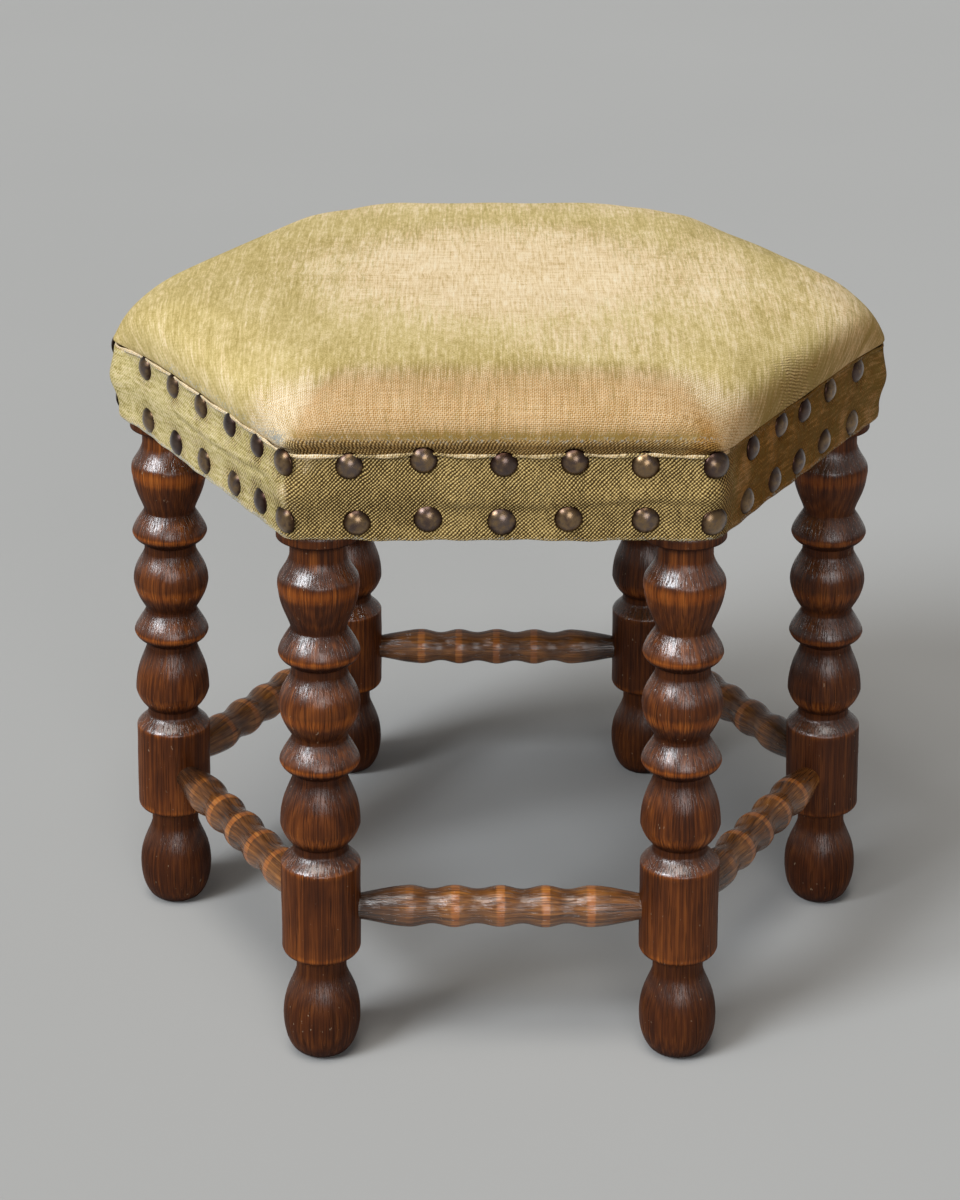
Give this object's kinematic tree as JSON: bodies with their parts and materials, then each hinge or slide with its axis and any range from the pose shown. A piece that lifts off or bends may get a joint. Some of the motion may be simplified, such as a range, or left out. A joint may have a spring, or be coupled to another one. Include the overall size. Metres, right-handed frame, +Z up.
{
  "type": "upholstered footstool",
  "caption": "Hexagonal upholstered footstool on turned legs joined by bobbin-turned stretchers, with a crowned velvet seat and a band nailed round its sides.",
  "frame": {"origin": "on the floor, under the middle of the seat", "axes": "+Z up; the front side of the hexagon faces -Y; +X to the right, through the right-hand corner leg"},
  "size_m": [0.404, 0.3552, 0.366],
  "materials": {
    "leg_wood": "dark stained oak, shellac polish worn through on the ridges",
    "stretcher_wood": "dark stained oak, polish worn lighter on the beads",
    "rail_wood": "bare sawn beech, aged",
    "jute_webbing": "woven jute tape",
    "hessian_cloth": "open plain weave",
    "hair_stuffing": "curled hair and fibre",
    "cotton_wadding": "soft matted cotton",
    "top_velvet": "olive gold cotton velvet, pile worn thin in the middle and along the front edge",
    "band_velvet": "olive gold velvet, worn to its ground weave",
    "nail_bronze": "antique bronzed dome, rubbed on the crown"
  },
  "bodies": {
    "root": {"leg_right": "leg_wood", "leg_back_right": "leg_wood", "leg_back_left": "leg_wood", "leg_left": "leg_wood", "leg_front_left": "leg_wood", "leg_front_right": "leg_wood", "stretcher_back_right": "stretcher_wood", "stretcher_back": "stretcher_wood", "stretcher_back_left": "stretcher_wood", "stretcher_front_left": "stretcher_wood", "stretcher_front": "stretcher_wood", "stretcher_front_right": "stretcher_wood", "seat_rail_back_right": "rail_wood", "seat_rail_back": "rail_wood", "seat_rail_back_left": "rail_wood", "seat_rail_front_left": "rail_wood", "seat_rail_front": "rail_wood", "seat_rail_front_right": "rail_wood", "webbing_across_front": "jute_webbing", "webbing_across_middle": "jute_webbing", "webbing_across_back": "jute_webbing", "webbing_along_right": "jute_webbing", "webbing_along_middle": "jute_webbing", "webbing_along_left": "jute_webbing", "hessian": "hessian_cloth", "stuffing": "hair_stuffing", "wadding": "cotton_wadding", "top_cover": "top_velvet", "side_band": "band_velvet"}
  },
  "joints": []
}
